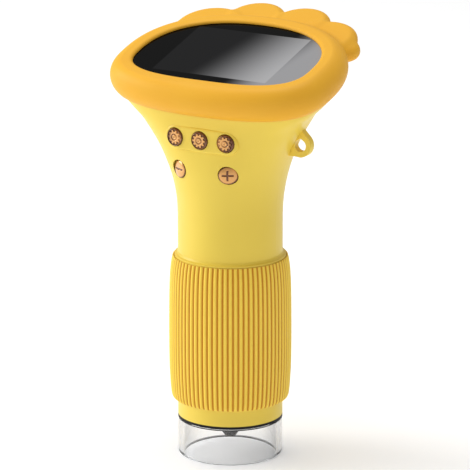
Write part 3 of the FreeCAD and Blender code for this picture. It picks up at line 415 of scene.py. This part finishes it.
def sign_face(plus):
    """Height of a domed key's face with its sunk sign."""
    def height(x, z):
        radius = np.hypot(x, z)
        dome = DOME_HEIGHT * np.maximum(1 - (radius / KEY_RADIUS) ** 2, 0) ** 0.6
        bar = np.maximum(np.abs(x) - SIGN_HALF, np.abs(z) - SIGN_STROKE)
        if plus:
            bar = np.minimum(bar, np.maximum(np.abs(z) - SIGN_HALF, np.abs(x) - SIGN_STROKE))
        return dome - SIGN_DEPTH * (1 - step_up(bar, -0.14, 0.06))
    return height


def pad_front(x):
    """Where the edge of a gear key's face lies: a little before the crowned pad."""
    return PAD_FRONT - PAD_RISE + x * x / (2 * PAD_BEND)


def side_front(x):
    """Where the edge of a minus or plus key's face lies: just clear of the round wall."""
    return -np.sqrt(SIDE_BEND ** 2 - x * x) - SIDE_RISE


def key(name, face, lift, inside, post_radius, material):
    """One key: its shaped face, its side, the flange behind the wall and the post down to the switch. The
    face follows lift, the wall's own curve, and inside is where the wall's back is."""
    low, high = (np.array(corner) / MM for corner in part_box(name))
    centre_x, centre_z = (low[0] + high[0]) / 2, (low[2] + high[2]) / 2
    flange_radius = (high[0] - low[0]) / 2
    front = float(lift(np.array(centre_x)))
    angle = np.linspace(0, 2 * math.pi, FACE_STEPS, endpoint=False)
    rows = []
    for radius in np.linspace(0.02, KEY_RADIUS, FACE_RINGS):
        x, z = radius * np.cos(angle), radius * np.sin(angle)
        rows.append((x, lift(centre_x + x) - front - face(x, z), z))
    flange_front = inside + FLANGE_BACK - front
    flange_rear, back = flange_front + FLANGE_T, high[1] - front
    for radius, y in ((KEY_RADIUS, flange_front), (flange_radius, flange_front), (flange_radius, flange_rear),
                      (post_radius, flange_rear), (post_radius, back)):
        rows.append((radius * np.cos(angle), np.full_like(angle, y), radius * np.sin(angle)))
    grid = [np.stack([x, y, z], axis=-1) * MM for x, y, z in rows]
    piece = skin(name.replace("_button", "_cap"), grid, wrap_rows=False)
    piece.location = Vector((centre_x, front, centre_z)) * MM
    outward(piece)
    sharp_edges(piece, 60)
    piece.data.materials.append(material)
    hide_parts(name)
    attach(piece, name.replace("_button", "_key"))


def bronze_plating(name, sunk):
    """Bronze plating, darker where sunk is 1 and from the key's edge down its side: painted shade in the
    key's hollows and on its shadowed side.
    """
    plating = Finish(name, Metallic=0.5, IOR=1.5, Coat_Weight=0.6, Coat_Roughness=0.06)
    spot = plating.place()
    flat = plating.node("VectorMath", {"operation": "MULTIPLY"}, {0: spot, 1: (1, 0, 1)})
    radius = plating.node("VectorMath", {"operation": "LENGTH"}, {0: flat}, "Value")
    # Painted shade from the key's edge down its side, where the gap round the key lies in shadow.
    side = plating.band(radius, EDGE_SHADE_START * MM, EDGE_SHADE_END * MM)
    dark = 1 - (1 - side) * (1 - sunk(plating, spot))
    wear = plating.grain(0.4 * MM, 2.0)
    colour = plating.mixed(dark, plating.mixed(wear, BRONZE, BRONZE_WARM), BRONZE_PAINTED_SHADE)
    return plating.done(Base_Color=colour, Roughness=0.20 + 0.10 * wear)


def sunk_gear(plating, spot):
    """1 in the channel and the dish of a gear key, where the plating gets painted shade."""
    return 1 - plating.band(plating.axis((0, -1, 0), spot), 0.02 * MM, 0.26 * MM)


def sunk_sign(plus):
    """1 in the sunk minus or plus of a domed key, where the plating gets painted shade."""
    def bar(plating, along, over):
        narrow, wide, end = (SIGN_STROKE - 0.04) * MM, (SIGN_STROKE + 0.06) * MM, SIGN_HALF * MM
        return (1 - plating.band(over, narrow, wide)) * (1 - plating.band(along, end - wide / 4, end))

    def sunk(plating, spot):
        x, z = abs(plating.axis((1, 0, 0), spot)), abs(plating.axis((0, 0, 1), spot))
        level = bar(plating, x, z)
        return 1 - (1 - level) * (1 - bar(plating, z, x)) if plus else level
    return sunk


gear_bronze = bronze_plating("bronze gear key", sunk_gear)
for name in ("left_gear_button", "middle_gear_button", "right_gear_button"):
    key(name, gear_face, pad_front, PAD_INSIDE, PAD_POST, gear_bronze)
for sign, plus in (("minus", False), ("plus", True)):
    sign_bronze = bronze_plating("bronze " + sign + " key", sunk_sign(plus))
    key(sign + "_button", sign_face(plus), side_front, SIDE_INSIDE, SIDE_POST, sign_bronze)

# ------------------------------------------------------------------ focus grip
# A barrel of soft rubber with seventy-two rounded ribs, stretched over the cam sleeve. The ribs run its whole
# height and fade only where the ring's ends roll in.
GRIP_BORE, RECESS_R, RECESS_DEPTH = 17.4, 18.05, 0.4
RIBS, RIB_DEPTH, RIB_SQUARENESS, STEPS_PER_RIB = 72, 0.46, 1.3, 14
SKIN_OVER_RECESS, SMOOTHINGS = 0.07, 2
BARREL = (               # radius and height above the ring's foot
    (18.0, 0.0), (18.5, 0.25), (18.78, 0.8), (19.1, 3.0), (19.56, 10.0), (19.68, 20.55),
    (19.54, 36.1), (19.25, 42.1), (18.85, 45.2), (18.62, 46.4), (18.45, 47.1))
LEVELS = np.array([      # heights of the rows of points, closer together at the ends
    0, 0.12, 0.25, 0.5, 0.8, 1.4, 2.2, 3.2, 5, 7.5, 10, 13, 16, 20, 24, 28, 32, 35, 38, 40, 42, 43.5, 44.6,
    45.4, 46.0, 46.4, 46.8, 47.1])

grip_low, grip_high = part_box("focus_grip")
foot, top = grip_low.z / MM, grip_high.z / MM
barrel = np.interp(LEVELS, [level for _, level in BARREL], [radius for radius, _ in BARREL])
for _ in range(SMOOTHINGS):
    barrel[1:-1] = 0.5 * barrel[1:-1] + 0.25 * (barrel[:-2] + barrel[2:])
deepest = np.minimum(RIB_DEPTH, np.maximum(barrel - RECESS_R - SKIN_OVER_RECESS, 0.02))
grip_rows = []
for k in range(RIBS * STEPS_PER_RIB):
    angle = 2 * math.pi * k / (RIBS * STEPS_PER_RIB)
    groove = (0.5 - 0.5 * math.cos(angle * RIBS)) ** RIB_SQUARENESS
    r = np.concatenate([barrel - deepest * groove, [RECESS_R, RECESS_R, GRIP_BORE, GRIP_BORE]])
    z = np.concatenate([foot + LEVELS, [top, top - RECESS_DEPTH, top - RECESS_DEPTH, foot]])
    grip_rows.append(np.stack([r * math.cos(angle), r * math.sin(angle), z], axis=-1) * MM)
grip = skin("ribbed_grip", grip_rows)
outward(grip)
sharp_edges(grip, 60)

# The grooves between the ribs get a darker colour than the crests: painted shade in the grooves.
CREST, GROOVE_PAINTED_SHADE = rgb(0.98, 0.70, 0.085), rgb(0.60, 0.25, 0.008)
ribbed = Finish("ribbed rubber", IOR=1.45, Specular_IOR_Level=0.35)
spot = ribbed.place()
around = ribbed.axis((0, 1, 0), spot).turn_from(ribbed.axis((1, 0, 0), spot))
groove = 0.5 - 0.5 * (around * RIBS).cosine()
grip_grain = ribbed.grain(0.2 * MM, 2.0)
grip.data.materials.append(ribbed.done(
    Base_Color=ribbed.mixed(ribbed.band(groove, 0.4, 0.98), CREST, GROOVE_PAINTED_SHADE),
    Roughness=0.42 + 0.1 * grip_grain,
    Normal=ribbed.relief(grip_grain, 0.012 * MM, 0.4)))
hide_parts("focus_grip")
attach(grip, "focus")

# ------------------------------------------------------------------ clear hood
# A stand-off tube turned from clear acrylic and polished. Its spigot slips into the black cup under the
# collar, and its rolled foot sets the working distance.
HOOD_WALL, HOOD_STEPS = 2.0, 192
SPIGOT_R, SPIGOT_WALL, SPIGOT_HEIGHT = 14.8, 0.9, 3.2
FOOT_ROLL, FOOT_STEPS, FOOT_BREAK, EDGE_BREAK = 1.0, 8, 0.25, 0.12

_, hood_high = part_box("clear_hood")
outer, spigot_top = hood_high.x / MM, hood_high.z / MM
bore, shoulder, spigot_bore = outer - HOOD_WALL, spigot_top - SPIGOT_HEIGHT, SPIGOT_R - SPIGOT_WALL
hood_profile = [(bore, FOOT_BREAK), (bore + FOOT_BREAK, 0.0)]
for k in range(FOOT_STEPS + 1):
    bend = math.radians(-90 + 90 * k / FOOT_STEPS)
    out, rise = FOOT_ROLL * (math.cos(bend) - 1), FOOT_ROLL * (math.sin(bend) + 1)
    hood_profile.append((outer + out, rise))
hood_profile += [
    (outer, shoulder - EDGE_BREAK), (outer - EDGE_BREAK, shoulder), (SPIGOT_R, shoulder),
    (SPIGOT_R, spigot_top - 0.1), (SPIGOT_R - 0.1, spigot_top), (spigot_bore + 0.1, spigot_top),
    (spigot_bore, spigot_top - 0.1), (spigot_bore, shoulder - 0.5), (bore, shoulder - 0.9)]
hood_rows = []
for k in range(HOOD_STEPS):
    angle = 2 * math.pi * k / HOOD_STEPS
    hood_rows.append([(r * math.cos(angle) * MM, r * math.sin(angle) * MM, z * MM) for r, z in hood_profile])
hood = skin("hood_tube", hood_rows)
outward(hood)
sharp_edges(hood, 30)
acrylic = Finish("clear acrylic", IOR=1.49, Transmission_Weight=1.0)
acrylic_haze = acrylic.grain(6 * MM, 3.0)
# Painted shade: the acrylic's colour turns grey where the wall is seen edge-on.
edge_on_painted_shade = acrylic.node("LayerWeight", {}, {"Blend": 0.35}, "Facing")
clear = acrylic.mixed(acrylic_haze, rgb(0.97, 0.975, 0.98), rgb(0.985, 0.985, 0.985))
hood.data.materials.append(acrylic.done(
    Base_Color=acrylic.mixed(acrylic.band(edge_on_painted_shade, 0.05, 0.6), clear, rgb(0.50, 0.51, 0.53)),
    Roughness=0.015 * acrylic_haze))
hood.visible_shadow = False
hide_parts("clear_hood")
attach(hood, "hood")

# ------------------------------------------------------------------ black fittings
# The cup that holds the lamps, whose rim shows as a dark line above the hood, and the lens carriage with its
# conical nose: both moulded matt black so that no stray light reaches the sensor. The ring that keeps the
# lens in and the drag ring of the focus grip are black too.
black = Finish("matt black moulding", IOR=1.5, Specular_IOR_Level=0.15)
black_spark = black.grain(0.15 * MM, 2.0)
black_material = black.done(
    Base_Color=black.mixed(black_spark, rgb(0.008, 0.008, 0.009), rgb(0.016, 0.016, 0.017)),
    Roughness=0.42 + 0.2 * black_spark,
    Normal=black.relief(black_spark, 0.01 * MM, 0.5))
paint(black_material, "light_plate", "lens_carriage", "lens_retainer", "drag_ring")

# ------------------------------------------------------------------ white mouldings
# Inner parts in natural acetal and ABS, left undyed: the display's tray, the battery's cradle, the cam sleeve
# under the grip and the plungers of the switches.
natural = Finish("natural moulding", IOR=1.48)
natural_flow = natural.grain(5 * MM, 3.0)
natural_material = natural.done(
    Base_Color=natural.mixed(natural_flow, rgb(0.80, 0.80, 0.77), rgb(0.72, 0.72, 0.69)),
    Roughness=0.38 + 0.12 * natural_flow)
paint(natural_material, "display_carrier", "battery_cradle", "cam_sleeve", "left_gear_plunger",
      "middle_gear_plunger", "right_gear_plunger", "minus_plunger", "plus_plunger")

# ------------------------------------------------------------------ circuit boards
# Glass-fibre boards under a green solder mask, for the processor, the keys, the camera and the lamps. The
# weave shows faintly through the mask as fine stripes.
board = Finish("green solder mask", IOR=1.5)
WEAVE_PITCH = 0.5 * MM
weave = (board.axis((1, 0, 0)) * (2 * math.pi / WEAVE_PITCH)).sine()
board_patch = board.grain(1.5 * MM, 3.0)
board_material = board.done(
    Base_Color=board.mixed(board_patch * 0.7 + weave * 0.08, rgb(0.012, 0.16, 0.05), rgb(0.03, 0.26, 0.09)),
    Roughness=0.3 + 0.15 * board_patch)
paint(board_material, "main_board", "button_board", "sensor_board", "led_board")

# ------------------------------------------------------------------ chips and connectors
# Black epoxy packages with a slightly grainy top, the switches' bases and the connector of the flexible
# circuits, all soldered to the boards.
epoxy = Finish("black epoxy", IOR=1.5)
epoxy_grain = epoxy.grain(0.1 * MM, 3.0)
epoxy_material = epoxy.done(
    Base_Color=epoxy.mixed(epoxy_grain, rgb(0.02, 0.02, 0.022), rgb(0.04, 0.04, 0.043)),
    Roughness=0.5 + 0.2 * epoxy_grain)
paint(epoxy_material, "processor_chip", "power_chip", "flex_connector", "switch_bases", "image_sensor")

# ------------------------------------------------------------------ steel parts
# Zinc-plated screws, ground guide pins and the folded cans of the charging and card sockets. Fine lines from
# drawing and grinding run across them.
steel = Finish("plated steel", Metallic=1.0)
steel_lines = steel.grain(0.3 * MM, 4.0, (1, 1, 8))
steel_material = steel.done(
    Base_Color=steel.mixed(steel_lines, rgb(0.62, 0.62, 0.63), rgb(0.50, 0.50, 0.52)),
    Roughness=0.22 + 0.2 * steel_lines)
paint(steel_material, "carrier_screws", "board_screws", "button_screws", "tube_screws", "sensor_screws",
      "plate_screws", "guide_pins", "usb_socket", "card_socket")

# ------------------------------------------------------------------ display panel
# The liquid-crystal panel in its thin metal tray, bonded behind the cover glass.
panel = Finish("display panel", Metallic=0.2)
panel_patch = panel.grain(3 * MM, 3.0)
paint(panel.done(Base_Color=panel.mixed(panel_patch, rgb(0.03, 0.03, 0.033), rgb(0.06, 0.06, 0.065)),
                 Roughness=0.25 + 0.15 * panel_patch), "lcd_panel")

# ------------------------------------------------------------------ battery
# A lithium pouch cell in dimpled silver foil, standing in its cradle inside the neck.
foil = Finish("pouch foil", Metallic=0.9)
foil_dimples = foil.grain(1.2 * MM, 3.0)
paint(foil.done(Base_Color=foil.mixed(foil_dimples, rgb(0.66, 0.67, 0.69), rgb(0.55, 0.56, 0.58)),
                Roughness=0.3 + 0.15 * foil_dimples,
                Normal=foil.relief(foil_dimples, 0.08 * MM, 0.4)), "battery")

# ------------------------------------------------------------------ flexible circuits
# Amber polyimide strips that carry the picture from the sensor and to the display.
amber = Finish("amber film", IOR=1.6)
amber_tracks = amber.grain(0.4 * MM, 2.0, (6, 1, 1))
paint(amber.done(Base_Color=amber.mixed(amber_tracks, rgb(0.50, 0.20, 0.03), rgb(0.36, 0.13, 0.02)),
                 Roughness=0.24 + 0.12 * amber_tracks), "lcd_flex", "sensor_flex")

# ------------------------------------------------------------------ leads
# Pairs of thin wires in red silicone: one pair from the battery, the other down to the lamp ring.
RED, RED_WORN = rgb(0.45, 0.02, 0.02), rgb(0.36, 0.015, 0.015)
insulation = Finish("red insulation", IOR=1.45)
insulation_patch = insulation.grain(2 * MM, 3.0)
paint(insulation.done(Base_Color=insulation.mixed(insulation_patch, RED, RED_WORN),
                      Roughness=0.4 + 0.15 * insulation_patch), "battery_leads", "led_leads")

# ------------------------------------------------------------------ lenses
# A front and a rear element of polished optical glass with a faint magenta coating, held in the carriage.
optic = Finish("coated glass", IOR=1.52, Transmission_Weight=1.0)
optic_coat = optic.grain(3 * MM, 2.0)
paint(optic.done(Base_Color=optic.mixed(optic_coat, rgb(0.95, 0.92, 0.98), rgb(0.92, 0.95, 0.98)),
                 Roughness=0.01 * optic_coat), "front_lens", "rear_lens")

# ------------------------------------------------------------------ lamps
# Eight white light-emitting diodes in a ring round the nose, each a clear dome over a yellow phosphor.
lamp_cap = Finish("lamp dome", IOR=1.5)
phosphor = lamp_cap.grain(0.8 * MM, 3.0)
paint(lamp_cap.done(Base_Color=lamp_cap.mixed(phosphor, rgb(0.93, 0.86, 0.45), rgb(0.96, 0.93, 0.72)),
                    Roughness=0.15 + 0.1 * phosphor), "leds")
